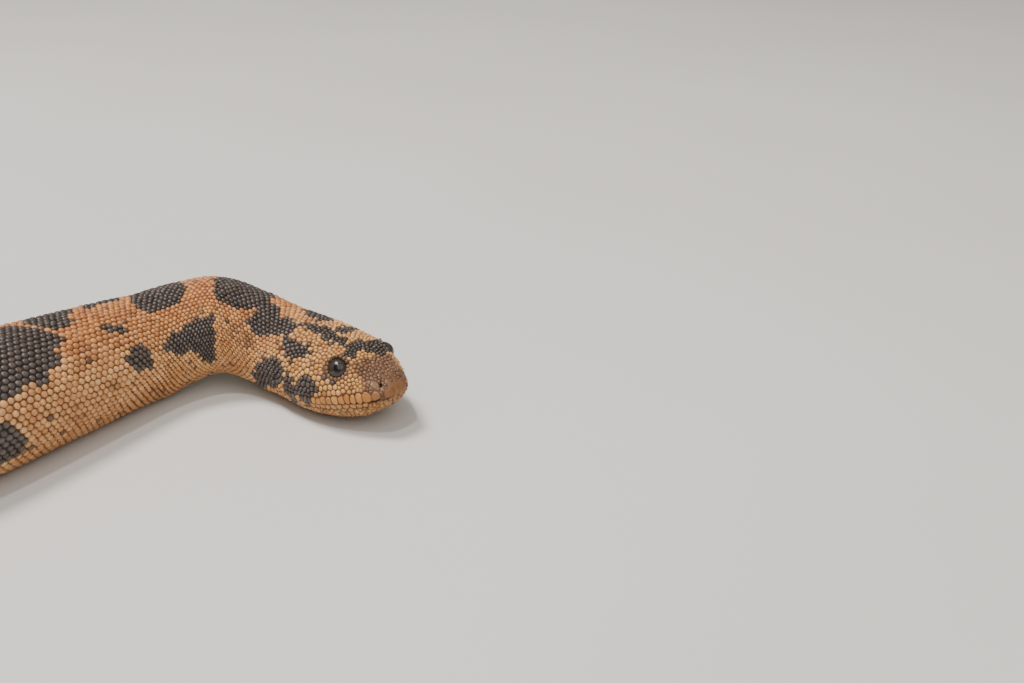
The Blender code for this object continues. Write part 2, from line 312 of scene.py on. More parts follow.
# %% Shader helper
class Sock:
    """A shader value that can be added, multiplied and mixed like a number."""

    def __init__(self, tree, socket):
        self.tree = tree
        self.socket = socket

    def node(self, kind, settings=None, **inputs):
        """Adds a node; values and links go in by the input's name, with _ for a space."""
        new = self.tree.nodes.new(kind)
        for key, value in (settings or {}).items():
            setattr(new, key, value)
        for key, value in inputs.items():
            plug(self.tree, value, new.inputs[key.replace("_", " ")])
        return new

    def math(self, operation, *values, kind="ShaderNodeMath"):
        new = self.node(kind, {"operation": operation})
        for value, slot in zip((self, *values), new.inputs):
            plug(self.tree, value, slot)
        return Sock(self.tree, new.outputs[0])

    def __add__(self, other):
        return self.math("ADD", other)

    def __mul__(self, other):
        return self.math("MULTIPLY", other)

    __radd__, __rmul__ = __add__, __mul__

    def __sub__(self, other):
        return self.math("SUBTRACT", other)

    def __rsub__(self, other):
        return (self * -1.0) + other

    def __pow__(self, other):
        return self.math("POWER", other)

    def scaled(self, factors):
        """A vector stretched by three factors."""
        return self.math("MULTIPLY", factors, kind="ShaderNodeVectorMath")

    def between(self, low, high):
        """0 under low, 1 over high, and smooth in between."""
        smooth = {"interpolation_type": "SMOOTHSTEP"}
        new = self.node("ShaderNodeMapRange", smooth, Value=self, From_Min=low, From_Max=high)
        return Sock(self.tree, new.outputs[0])


def plug(tree, value, slot):
    """Links a socket to an input, or sets the input to a number or a colour."""
    if isinstance(value, Sock):
        tree.links.new(value.socket, slot)
    elif isinstance(value, tuple) and len(value) == 3 and slot.type == "RGBA":
        slot.default_value = (*value, 1)
    else:
        slot.default_value = value


def blend(factor, first, second):
    """Mixes two colours, each a tuple or a socket."""
    new = factor.node("ShaderNodeMix", {"data_type": "RGBA"}, Factor=factor)
    plug(factor.tree, first, new.inputs[6])
    plug(factor.tree, second, new.inputs[7])
    return Sock(factor.tree, new.outputs[2])


class Finish:
    """A new material with its Principled shader, ready for expressions."""

    def __init__(self, name):
        self.material = bpy.data.materials.new(name)
        self.material.use_nodes = True
        self.tree = self.material.node_tree
        self.shader = self.tree.nodes["Principled BSDF"]

    def attribute(self, name):
        new = self.tree.nodes.new("ShaderNodeAttribute")
        new.attribute_name = name
        return Sock(self.tree, new.outputs["Fac"])

    def place(self):
        return Sock(self.tree, self.tree.nodes.new("ShaderNodeTexCoord").outputs["Object"])

    def noise(self, scale, detail=2.0, vector=None):
        where = vector or self.place()
        new = where.node("ShaderNodeTexNoise", Vector=where, Scale=scale, Detail=detail)
        return Sock(self.tree, new.outputs["Fac"])

    def bump(self, height, strength, distance):
        new = self.tree.nodes.new("ShaderNodeBump")
        new.inputs["Strength"].default_value = strength
        new.inputs["Distance"].default_value = distance
        plug(self.tree, height, new.inputs["Height"])
        self.tree.links.new(new.outputs["Normal"], self.shader.inputs["Normal"])

    def set(self, **inputs):
        for key, value in inputs.items():
            plug(self.tree, value, self.shader.inputs[key.replace("_", " ")])
        return self.material


# %% Floor finish
pale = Finish("pale_floor")
floor_tone = pale.noise(6.0).between(0.2, 0.8)
floor.data.materials.append(
    pale.set(Base_Color=blend(floor_tone, (0.60, 0.585, 0.56), (0.64, 0.625, 0.60)), Roughness=0.75)
)

# %% [markdown]
# Where the skin lies. The solids are the animal with its scales on, so the skin lies under them
# by the thickness of a scale. Distances round the body are measured in millimetres from the
# crown, so a table turns such a distance into an angle at any place along the body.

# %% Skin surface and its measure
SCALE_DEPTH = (
    (0, 0.24), (8, 0.33), (26, 0.38), (60, 0.42), (140, 0.46), (380, 0.5), (600, 0.42),
    (660, 0.28), (680, 0.12),
)


def skin_surface(along, degrees):
    """The smooth skin and its outward direction."""
    normal = outward(along, degrees) * OUT_SIGN
    points = surface(along, degrees) - normal * through(SCALE_DEPTH, along)[..., None]
    return points, normal


ALONG_STEP, ANGLE_STEP, AROUND_STEP = 0.5, 2.0, 0.25
TABLE_ALONG = np.arange(0, TOTAL_LENGTH + ALONG_STEP, ALONG_STEP)
TABLE_ANGLES = np.arange(-180, 181.0, ANGLE_STEP)
TABLE_AROUND = np.arange(-60, 60.01, AROUND_STEP)
table_side, table_height = section(TABLE_ALONG[:, None], TABLE_ANGLES[None, :])
table_step = np.hypot(np.diff(table_side, axis=1), np.diff(table_height, axis=1))


def from_crown(steps):
    """Running sums of a table's steps round the body, counted both ways from the crown."""
    total = np.concatenate([np.zeros((len(steps), 1)), np.cumsum(steps, 1)], 1)
    crown = total.shape[1] // 2
    return total - total[:, crown : crown + 1]


ARC_TABLE = from_crown(table_step)
ANGLE_TABLE = np.array([np.interp(TABLE_AROUND, row, TABLE_ANGLES) for row in ARC_TABLE])


def look_up(table, along, value, first, step):
    """Reads a table by place along the body and a second value, blending the four nearest."""
    i = np.clip(along / ALONG_STEP, 0, table.shape[0] - 1.001)
    j = np.clip((value - first) / step, 0, table.shape[1] - 1.001)
    i0, j0 = i.astype(int), j.astype(int)
    fi, fj = i - i0, j - j0
    low = table[i0, j0] * (1 - fj) + table[i0, j0 + 1] * fj
    high = table[i0 + 1, j0] * (1 - fj) + table[i0 + 1, j0 + 1] * fj
    return low * (1 - fi) + high * fi


def angle_at(along, around):
    """Angle from the crown of a point that lies this many millimetres round from it."""
    return look_up(ANGLE_TABLE, along, around, TABLE_AROUND[0], AROUND_STEP)


def around_at(along, degrees):
    """The reverse: millimetres round from the crown, for an angle."""
    return look_up(ARC_TABLE, along, degrees, TABLE_ANGLES[0], ANGLE_STEP)


def half_round(along):
    """Millimetres from the crown to the middle of the belly."""
    return np.interp(along, TABLE_ALONG, ARC_TABLE[:, -1])


def mouth_angle(along):
    """Angle at which the flank of the head comes down to the mouth line."""
    along = np.asarray(along, float)
    level = through(MOUTH, along)
    low, high = np.full_like(along, 60.0), np.full_like(along, 150.0)
    for _ in range(30):
        middle = (low + high) / 2
        over = section(along, middle)[1] > level
        low, high = np.where(over, middle, low), np.where(over, high, middle)
    return low


print("half way round at the neck", round(float(half_round(60)), 1), "mm")

# %% [markdown]
# The markings. A sand boa's blotches are near black on orange tan, and ragged, because each
# scale is wholly dark or wholly light. Those that show are drawn as outlines on the unrolled skin:
# each corner is millimetres from the snout and millimetres round from the crown, the animal's
# right being plus. The ones further back follow the same habit from a seeded draw: a chain of
# saddles that leans from side to side, with smaller blotches in step along each flank.

# %% Blotches
BLOTCHES = {
    "crown streak": ((33, 3), (31, 1), (28, 2), (25, 1), (22, -0.4), (18, -0.4), (14.5, 0.6),
        (12.6, 1), (11, 2.4), (13.4, 2.6), (16.6, 3), (19, 3), (22, 3), (24.5, 2.7), (26.8, 2.7),
        (28, 4.6), (30, 5)),
    "bar between the eyes": ((11.2, 4.6), (11.8, 2.8), (13, 1), (14.2, -2), (12.6, -3), (12, -5.6),
        (7.8, -6.2), (7.2, -3), (7.8, -1.4), (9.6, -0.8), (10.2, 0.4), (9.8, 1.8), (8.8, 3.4),
        (9.6, 4.6)),
    "left temple": ((33, -6.2), (31, -9), (27, -9), (24, -6), (24.2, -2.6), (25.6, -1.6),
        (29, -1.7)),
    "left nape": ((19.8, -0.8), (20, -5.5), (19, -7.6), (17.2, -4), (16.4, -1.8), (17.4, -0.3)),
    "nape saddle": ((49, -0.8), (48, -4), (46, -8), (42, -9), (38, -6), (37, 0.2), (34.4, 0.2),
        (33.2, 1.8), (30.4, 3.4), (27.8, 4.4), (26.4, 6), (27.8, 6.8), (31.6, 7.8), (35, 8.9),
        (38.6, 8.7), (38.6, 6.8), (37.7, 3.9), (40.2, 5.7), (44, 6.5), (47.6, 6.3), (49, 5),
        (48, 2)),
    "second saddle": ((54.2, -2.4), (54.3, 2), (57.2, 5), (60, 5.9), (63.2, 6.2), (66, 5),
        (67.4, 3.2), (66.2, 0.4), (65, -5), (61, -8), (57, -7)),
    "left of the spine": ((76.4, 0.6), (72, -1.5), (69.4, -1.5), (66.8, -4), (68.4, -9), (73, -10),
        (75, -5)),
    "third saddle": ((77, -5), (81, 0.7), (82, 2.6), (85.2, 4.2), (88, 3), (89, -2), (87, -9),
        (80, -9)),
    "right shoulder": ((54.8, 10.2), (50.8, 10.5), (48, 10.6), (48, 13.3), (48.2, 16.5),
        (48.6, 20.6), (51, 21.2), (53.6, 19.8), (55.4, 17.4), (58, 16.3), (60, 16.8), (63, 16.2),
        (66.2, 13.8), (64.4, 12.7), (62.8, 11.4), (59.2, 11.6)),
    "right temple": ((27.5, 8.4), (27.4, 7), (25, 5.9), (22.6, 6.8), (20, 6.1), (18.2, 7.6),
        (18.8, 8.9), (20.6, 9.8), (21.6, 10.9), (23, 10.8), (24.8, 9.6)),
    "right of the throat": ((32.8, 14), (30, 12.6), (27.6, 11.7), (25.4, 12.1), (23.8, 14),
        (22.8, 15.4), (24.4, 17), (27.4, 18.8), (30.6, 19.6), (33.6, 22.4), (36.2, 23.4),
        (37.4, 22.4), (35.4, 19.2), (35.6, 18), (33.4, 15.4)),
    "right cheek": ((23.4, 15.6), (21, 13.9), (19.4, 14.7), (17.8, 13), (17, 11.9), (15, 12),
        (14, 12.8), (13.2, 14), (13.6, 15.3), (13.6, 16.6), (14.6, 17.8), (16.8, 18.2),
        (19.2, 20.2), (21.6, 20.8), (22.8, 19.6), (22.4, 18.3)),
    "under the right eye": ((13.4, 11), (12.6, 9.7), (10.4, 9.4), (8.8, 9.7), (9, 10.7),
        (11.4, 11.2)),
    "right flank": ((78.4, 5.9), (76, 6.4), (72.8, 8), (73.4, 10), (76, 8.8), (78.4, 7.6)),
    "low on the right": ((76, 13), (72, 12.6), (70, 15), (71, 18.5), (75, 18), (78, 15.5)),
    "left temple low": ((26, -9), (22, -7.6), (18.6, -7), (17.6, -9.4), (20.4, -11.6), (24, -11)),
    "left cheek": ((23, -15.4), (19.6, -13), (16.4, -12), (13.6, -12.6), (13, -15), (15.4, -18),
        (20, -19.4), (23, -18.4)),
    "left of the throat": ((35, -14.4), (30, -12.6), (26.4, -13.4), (25, -16.6), (29, -20),
        (34, -21), (37, -18)),
    "left shoulder": ((60, -12), (54, -10.6), (50, -13), (51.4, -18), (56, -20), (59, -18),
        (65, -17.4), (66, -14)),
    "left flank": ((82, -14), (76, -12.6), (72, -16), (74, -21), (80, -21), (84, -18)),
}
DUSKY = ((43.6, 10.2), (39.2, 8.8), (35.6, 9.4), (34.8, 11.2), (37.6, 13.7), (40, 13.4), (43, 12.6))


def outline_distance(corners, along, around):
    """Millimetres from an outline on the unrolled skin, minus inside it."""
    corners = np.array(corners, float)
    best = np.full(along.shape, 1e9)
    inside = np.zeros(along.shape, bool)
    for (x1, y1), (x2, y2) in zip(corners, np.roll(corners, -1, 0)):
        dx, dy = x2 - x1, y2 - y1
        t = np.clip(((along - x1) * dx + (around - y1) * dy) / (dx * dx + dy * dy), 0, 1)
        best = np.minimum(best, np.hypot(along - x1 - t * dx, around - y1 - t * dy))
        if dy:
            crosses = (y1 > around) != (y2 > around)
            inside ^= crosses & (along < dx * (around - y1) / dy + x1)
    return np.where(inside, -best, best)


def body_blotches():
    """Ellipses (along, around, half length, half width, lean) from the shoulder to the tail."""
    draw = np.random.default_rng(11)
    found = []
    at, side = 97.0, 1
    while at < 668:
        half = float(half_round(at))
        size = half / 40 * draw.uniform(0.85, 1.15)
        centre = side * draw.uniform(0.06, 0.2) * half
        lean = draw.uniform(-0.5, 0.5)
        found.append((at, centre, 9.5 * size, 9.0 * size, lean))
        for _ in range(2):
            reach, turn = draw.uniform(0.7, 1.1), draw.uniform(-math.pi, math.pi)
            found.append((
                at + 8 * size * reach * math.cos(turn), centre + 9 * size * reach * math.sin(turn),
                draw.uniform(3.5, 6) * size, draw.uniform(3, 5.5) * size, draw.uniform(-1, 1),
            ))
        for flank in (-1, 1):
            low = flank * half * draw.uniform(0.5, 0.64)
            on = at + draw.uniform(7, 14) * size
            found.append((on, low, draw.uniform(4, 7) * size, draw.uniform(3.2, 6) * size, lean))
            if draw.random() < 0.7:
                found.append((
                    on + draw.uniform(-6, 6) * size, low * draw.uniform(1.0, 1.2),
                    draw.uniform(2.5, 4.5) * size, draw.uniform(2, 4) * size, -lean,
                ))
        at += draw.uniform(18, 25) * (0.6 + 0.4 * size)
        side = -side
    return found


BODY_BLOTCHES = body_blotches()


def wobble(along, around):
    """A few crossed waves that make every blotch's edge ragged, about 0.6 mm either way."""
    return (
        0.30 * np.sin(along * 1.9 + around * 0.7)
        + 0.26 * np.sin(along * 0.8 - around * 2.3 + 1.0)
        + 0.20 * np.sin(along * 3.7 + around * 2.9 + 2.0)
    )


def blotch_distance(along, around):
    """Millimetres from the nearest blotch, minus inside one."""
    along, around = np.broadcast_arrays(np.asarray(along, float), np.asarray(around, float))
    best = np.full(along.shape, 1e9)
    for corners in BLOTCHES.values():
        low, high = min(c[0] for c in corners) - 4, max(c[0] for c in corners) + 4
        near = (along > low) & (along < high)
        best[near] = np.minimum(best[near], outline_distance(corners, along[near], around[near]))
    best = best + 0.22 * wobble(along, around)
    for at, centre, length, width, lean in BODY_BLOTCHES:
        near = np.abs(along - at) < length + width + 4
        x, y = along[near] - at, around[near] - centre
        c, s = math.cos(lean), math.sin(lean)
        radius = np.hypot((x * c + y * s) / length, (y * c - x * s) / width)
        gap = (radius - 1) * min(length, width) + 1.3 * wobble(x * 0.5 + at, y * 0.5)
        best[near] = np.minimum(best[near], gap)
    return best


print(len(BLOTCHES), "drawn blotches and", len(BODY_BLOTCHES), "ellipses further back")

# %% [markdown]
# The skin itself starts as a flat sheet, as a hide would lie unrolled: its long side runs from
# snout to tail and its short side goes once round. The sheet's own UV map is kept, because that is
# the unrolled skin. Each point then moves to its place on the animal, the long edges are merged,
# and the mouth line, the eye sockets and the nostrils are pressed in.

# %% Rows and columns of the sheet
def spaced(start, end, step):
    """Places after start, up to end, about a step apart."""
    return np.linspace(start, end, max(2, round((end - start) / step)) + 1)[1:]


SKIN_ROWS = np.concatenate([
    [0.0, 0.04, 0.12, 0.22, 0.36, 0.54, 0.76, 1.0], spaced(1.0, 2.6, 0.14), spaced(2.6, 30, 0.32),
    spaced(30, 100, 1.0), spaced(100, 640, 1.8), spaced(640, 676, 1.2), spaced(676, 680, 0.4),
])
ABOVE_MOUTH, BELOW_MOUTH = 32, 18
SKIN_OFF_FLOOR, SCALES_OFF_FLOOR = 0.03, 0.02


def column_angles(along):
    """Angles from crown to belly for one row, closer together near the mouth line."""
    lip = 98 + (mouth_angle(np.clip(along, 2, MOUTH_CORNER)) - 98) * (1 - ease((along - 24) / 8))
    t = np.linspace(0, 1, ABOVE_MOUTH + 1)
    above_lip = lip[:, None] * (1 - (1 - t) ** 1.35)
    t = np.linspace(0, 1, BELOW_MOUTH + 1)[1:]
    below_lip = lip[:, None] + (180 - lip[:, None]) * t**1.35
    half = np.concatenate([above_lip, below_lip], 1)
    return np.concatenate([-half[:, :0:-1], half], 1)


skin_angles = column_angles(SKIN_ROWS)
print("skin sheet", skin_angles.shape, "points")


# %% Pressed-in features
def eye_gap(points, side):
    """Distance from the axis of an eye, for points near it."""
    centre, look = eye_frame(side)
    away = points - centre
    ahead = (away * look).sum(-1)
    across = np.linalg.norm(away - ahead[..., None] * look, axis=-1)
    return np.where(ahead > -0.5, across, 1e3)


def nostril_gap(points, side):
    """Distance from a nostril's middle, stretched so that 1 is the rim of its slit."""
    at, angle = np.array([NOSTRIL_AT]), np.array([side * NOSTRIL_ANGLE])
    here, out = (v[0] for v in skin_surface(at, angle))
    back = surface(at + 0.1, angle)[0] - surface(at, angle)[0]
    back /= np.linalg.norm(back)
    down = np.cross(out, back) * side
    down *= math.copysign(1, -down[2])
    slant = math.radians(NOSTRIL_SLANT)
    long_way = down * math.sin(slant) - back * math.cos(slant)
    away = points - here
    run = (away * long_way).sum(-1)
    rest = np.linalg.norm(away - run[..., None] * long_way, axis=-1)
    return np.hypot(run / 0.75, rest / 0.3)


MOUTH_FRONT, POINTS_ACROSS = 1.4, 60
MOUTH_DEPTH, SOCKET_DEPTH, NOSTRIL_DEPTH = 0.56, 0.8, 0.8


def mouth_line():
    """Points along the closed mouth: up one side, across under the snout, down the other."""
    run = np.concatenate([np.arange(MOUTH_CORNER, 2, -0.1), np.linspace(2, MOUTH_FRONT, 8)])
    flank = mouth_angle(np.clip(run, 1.6, None))
    across = np.linspace(flank[-1], 360 - flank[-1], POINTS_ACROSS)
    across = np.where(across > 180, across - 360, across)
    run = np.concatenate([run, np.full(POINTS_ACROSS, MOUTH_FRONT), run[::-1]])
    return skin_surface(run, np.concatenate([flank, across, -flank[::-1]]))[0]


def press_in(points, normal, along):
    """The skin's own relief: the closed mouth, the sockets and the nostrils."""
    gap = np.full(along.shape, 9.0)
    line = mouth_line()
    for i in np.flatnonzero(along < MOUTH_CORNER + 3):
        gap[i] = np.sqrt(((line - points[i]) ** 2).sum(1).min())
    depth = MOUTH_DEPTH * np.exp(-((gap / (0.2 + 0.08 * ease((3 - along) / 1.5))) ** 2))
    for side in (1, -1):
        depth = depth + SOCKET_DEPTH * ease((2.1 - eye_gap(points, side)) / 0.5)
        depth = depth + NOSTRIL_DEPTH * ease((1.3 - nostril_gap(points, side)) / 0.8)
    return points - normal * depth[..., None], depth


# %% Roll the sheet into the animal
def sheet(name, rows, columns):
    """A flat grid primitive, and the row and column of each of its vertices."""
    deselect()
    bpy.ops.mesh.primitive_grid_add(x_subdivisions=rows - 1, y_subdivisions=columns - 1, size=1)
    piece = bpy.context.object
    piece.name = piece.data.name = name
    flat = np.empty(len(piece.data.vertices) * 3)
    piece.data.vertices.foreach_get("co", flat)
    x, y, _ = flat.reshape(-1, 3).T
    row = np.rint((x + 0.5) * (rows - 1)).astype(int)
    return piece, row, np.rint((y + 0.5) * (columns - 1)).astype(int)


def put(piece, points):
    """Moves the vertices to points in millimetres."""
    piece.data.vertices.foreach_set("co", to_frame(points).astype(np.float32).ravel())
    piece.data.update()


def note(piece, name, values):
    """Stores one number for each vertex, for the material to read."""
    layer = piece.data.attributes.new(name, "FLOAT", "POINT")
    layer.data.foreach_set("value", np.asarray(values, np.float32))


def close_up(piece):
    """Merges the sheet's long edges and its poles, and points every face outwards."""
    deselect()
    piece.select_set(True)
    bpy.context.view_layer.objects.active = piece
    bpy.ops.object.mode_set(mode="EDIT")
    bpy.ops.mesh.select_all(action="SELECT")
    bpy.ops.mesh.remove_doubles(threshold=1e-7)
    bpy.ops.mesh.normals_make_consistent(inside=False)
    bpy.ops.object.mode_set(mode="OBJECT")
    bpy.ops.object.shade_smooth()


def lowness(along, around):
    """Share of the way from crown to belly, held back under the head, which is tan all round."""
    share = np.abs(around) / np.maximum(half_round(along), 0.5)
    return np.minimum(share * (1 - 0.22 * ease((14 - along) / 6)), 0.7 + 0.05 * along)


row_count, column_count = skin_angles.shape
skin, row, column = sheet("skin", row_count, column_count)
along, degrees = SKIN_ROWS[row], skin_angles[row, column]
points, normal = skin_surface(along, degrees)
points, pressed = press_in(points, normal, along)
ends = (row == 0) | (row == row_count - 1)
points[ends] = surface(along[ends], np.zeros(ends.sum()))
points[:, 2] = np.maximum(points[:, 2], SKIN_OFF_FLOOR)
around = around_at(along, degrees)
put(skin, points)
note(skin, "dark", 1 - ease((blotch_distance(along, around) + 0.5) / 0.8))
# How deep the skin is pressed in; the skin's finish paints this as shade.
note(skin, "pressed", np.clip(pressed / 0.5, 0, 1))
note(skin, "tail_tip", ease((along - 675.5) / 1.5))
note(skin, "low", lowness(along, around))
close_up(skin)
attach(skin, "root")
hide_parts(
    "head", "lower_jaw", "neck", "body_front", "body_middle", "body_rear", "body_hind", "tail"
)
print("skin", len(skin.data.polygons), "faces")

# %% [markdown]
# One scale is modelled once: a small disc whose rim is extruded outwards ring by ring, as one
# would do by hand. Its copies keep the disc's pattern of vertices, and only change how far each
# ring reaches and how high it stands, so thousands of them can be laid in one array each.


# %% A scale, modelled once
def model_scale(sides, rings):
    """Distance and direction of each vertex from the middle of the scale, and its faces."""
    deselect()
    bpy.ops.mesh.primitive_circle_add(vertices=sides, radius=rings[0], fill_type="TRIFAN")
    disc = bpy.context.object
    bpy.ops.object.mode_set(mode="EDIT")
    bpy.ops.mesh.select_all(action="SELECT")
    bpy.ops.mesh.region_to_loop()
    for inner, outer in zip(rings, rings[1:]):
        bpy.ops.mesh.extrude_edges_move()
        bpy.ops.transform.resize(value=(outer / inner, outer / inner, 1))
    bpy.ops.mesh.select_all(action="SELECT")
    bpy.ops.mesh.normals_make_consistent(inside=False)
    bpy.ops.object.mode_set(mode="OBJECT")
    place = np.array([v.co[:2] for v in disc.data.vertices])
    faces = [tuple(p.vertices) for p in disc.data.polygons]
    if disc.data.polygons[0].normal.z < 0:
        faces = [tuple(reversed(f)) for f in faces]
    mesh = disc.data
    bpy.data.objects.remove(disc, do_unlink=True)
    bpy.data.meshes.remove(mesh)
    return np.hypot(*place.T), np.arctan2(place[:, 1], place[:, 0]), faces


CLOSE_RINGS = (0.42, 0.76, 0.95, 1.04)
FAR_RINGS = (0.55, 0.9, 1.04)
CLOSE_SCALE = model_scale(12, CLOSE_RINGS)
FAR_SCALE = model_scale(8, FAR_RINGS)
PLATE = model_scale(24, (0.2, 0.4, 0.6, 0.78, 0.9, 0.97, 1.03))
print("one close scale has", len(CLOSE_SCALE[2]), "faces, a far one", len(FAR_SCALE[2]))


def dome(reach):
    """Height of a scale over its own middle line: a flattened bead whose rim dips into the skin."""
    return np.where(reach > 1, -0.4, np.clip(1 - reach**2.7, 0, 1) ** 0.6)


def set_uv(piece, layer, plan):
    """Gives every vertex its own place on a UV map."""
    corners = np.empty(len(piece.data.loops), np.int32)
    piece.data.loops.foreach_get("vertex_index", corners)
    layer.uv.foreach_set("vector", plan.reshape(-1, 2)[corners].astype(np.float32).ravel())


def grid_faces(rows, columns):
    """Faces of a grid whose points are numbered row by row."""
    firsts = [r * columns + c for r in range(rows - 1) for c in range(columns - 1)]
    return [(i, i + 1, i + columns + 1, i + columns) for i in firsts]


def join_scales(name, points, faces, per_scale, reach, uv):
    """One mesh from the vertices of many scales, shaped (scales, vertices, 3)."""
    count, verts = points.shape[:2]
    first = np.arange(count)[:, None] * verts
    tris, quads = (
        np.concatenate([np.empty((0, n), int)] + [first + face for face in faces if len(face) == n])
        for n in (3, 4)
    )
    corners = np.concatenate([tris.ravel(), quads.ravel()])
    starts = np.concatenate([np.arange(0, tris.size, 3), tris.size + np.arange(0, quads.size, 4)])
    points = points.copy()
    points[..., 2] = np.maximum(points[..., 2], SCALES_OFF_FLOOR)
    mesh = bpy.data.meshes.new(name)
    mesh.vertices.add(count * verts)
    mesh.loops.add(len(corners))
    mesh.polygons.add(len(starts))
    mesh.vertices.foreach_set("co", to_frame(points).astype(np.float32).ravel())
    mesh.loops.foreach_set("vertex_index", corners.astype(np.int32))
    mesh.polygons.foreach_set("loop_start", starts.astype(np.int32))
    mesh.polygons.foreach_set("use_smooth", np.ones(len(starts), bool))
    mesh.update(calc_edges=True)
    mesh.validate()
    piece = bpy.data.objects.new(name, mesh)
    bpy.context.scene.collection.objects.link(piece)
    for key, values in per_scale.items():
        note(piece, key, np.repeat(np.asarray(values, float), verts))
    if reach is not None:
        note(piece, "rim", np.tile(np.clip(reach, 0, 1), count))
    set_uv(piece, mesh.uv_layers.new(name="OFBake"), uv)
    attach(piece, "root")
    print(name, count, "scales,", len(tris) + 2 * len(quads), "triangles")
    return piece


BAKE_PATCH = 0.003


def bake_patches(along, around, reach, direction):
    """Each scale as a small patch at its root's place on the unrolled skin."""
    u = (along - along.min()) / max(np.ptp(along), 1e-6)
    v = (around - around.min()) / max(np.ptp(around), 1e-6)
    x = 0.01 + 0.98 * u[:, None] + BAKE_PATCH / 2 * reach * np.cos(direction)
    y = 0.01 + 0.98 * v[:, None] + BAKE_PATCH / 2 * reach * np.sin(direction)
    return np.stack([x, y], -1)


# %% [markdown]
# Body scales sit in a honeycomb: rows run along the body, and each row is half a scale out of
# step with the next. Row by row they are counted from the spine, so rows run out under the
# belly where the body gets thinner, as they do on the animal. Each scale is a rounded hexagon,
# lifted at its tail end so that it just laps over the next.

# %% The honeycomb
PITCH_ALONG = (
    (0, 1.05), (26, 1.16), (50, 1.24), (100, 1.4), (200, 1.75), (380, 1.95), (520, 1.7),
    (620, 1.35), (660, 1.1), (680, 0.8),
)
ROW_GAP = 0.866
BUNCHING = 0.6
LATTICE_START = 26.6
VENTRAL_SHARE = 0.42
middles = TABLE_ALONG[:-1] + ALONG_STEP / 2
place_steps = np.concatenate([[0], np.cumsum(ALONG_STEP / through(PITCH_ALONG, middles))])
place_steps -= np.interp(LATTICE_START, TABLE_ALONG, place_steps)

turning = np.gradient(heading(TABLE_ALONG), TABLE_ALONG)
squeeze = np.clip(1 - turning[:, None] * table_side, 0.4, 1.8) ** BUNCHING
table_row = from_crown(table_step / (0.5 * (squeeze[:, 1:] + squeeze[:, :-1])))
ROW_TABLE = np.array([
    np.interp(TABLE_AROUND, rows, arcs) for rows, arcs in zip(table_row, ARC_TABLE)
])


def row_place(along, count):
    """Millimetres round from the crown for a row's even count, closer inside a bend."""
    return look_up(ROW_TABLE, along, count, TABLE_AROUND[0], AROUND_STEP)


def honeycomb(start, end):
    """Places (along, around) and size of the scales between two places along the body."""
    first, last = (np.interp(v, TABLE_ALONG, place_steps) for v in (start, end))
    found = []
    for k in range(-70, 71):
        half_step = 0.5 * (k % 2)
        j = np.arange(math.ceil(first - half_step), math.floor(last - half_step - 1e-6) + 1)
        along = np.interp(j + half_step, place_steps, TABLE_ALONG)
        pitch = through(PITCH_ALONG, along)
        around = row_place(along, k * ROW_GAP * pitch)
        next_row = row_place(along, (k + 0.5) * ROW_GAP * pitch)
        last_row = row_place(along, (k - 0.5) * ROW_GAP * pitch)
        keep = np.abs(around) < half_round(along) - VENTRAL_SHARE * through(HALF_WIDTH, along)
        found.append(np.stack([along, around, pitch, (next_row - last_row) / ROW_GAP], 1)[keep])
    return np.concatenate(found)


def hexagon(direction, softness=7.0):
    """Reach of a rounded hexagon of pitch 1 in each direction."""
    total = 0.0
    for k in range(6):
        total = total + np.maximum(np.cos(direction - k * math.pi / 3), 0) ** softness
    return 0.5 / total ** (1 / softness)


LAP = ((0, 0.0), (26, 0.08), (60, 0.22), (140, 0.55), (600, 0.8), (680, 0.6))
DOME_HEIGHT = ((0, 0.34), (26, 0.40), (60, 0.43), (140, 0.42), (380, 0.42), (620, 0.38), (680, 0.2))
KEEL = ((0, 0.0), (120, 0.0), (300, 0.18), (600, 0.45), (680, 0.5))


def dusk_at(along, around):
    """Brownish, dusky patches a few scales wide, 0 to 1."""
    drawn = ease((1.6 - outline_distance(DUSKY, along, around)) / 2.4)
    waves = (
        np.sin(along * 0.55 + around * 0.31) + np.sin(along * 0.23 - around * 0.62 + 1.3)
        + 0.8 * np.sin(along * 0.9 + around * 0.95 + 4.0) + 0.6 * np.sin(around * 1.4 - along * 0.7)
    )
    return np.maximum(drawn, 0.75 * ease((waves - 0.9) / 1.5))


def tone_beside(gap, chance):
    """Orange is clearest right beside a blotch and duller in the open, scale by scale."""
    beside = np.exp(-((np.maximum(gap, 0) / 1.4) ** 2))
    open_skin = ease((gap - 2.5) / 4)
    return np.clip(chance + 0.3 * beside - 0.3 * open_skin * (chance > 0.3), 0, 1)


def golden(along):
    """The head is more golden than the body, and turns to orange over the nape."""
    return 1 - ease((along - 20) / 18)


PLACE_JITTER, TILT_JITTER = 0.04, 0.14


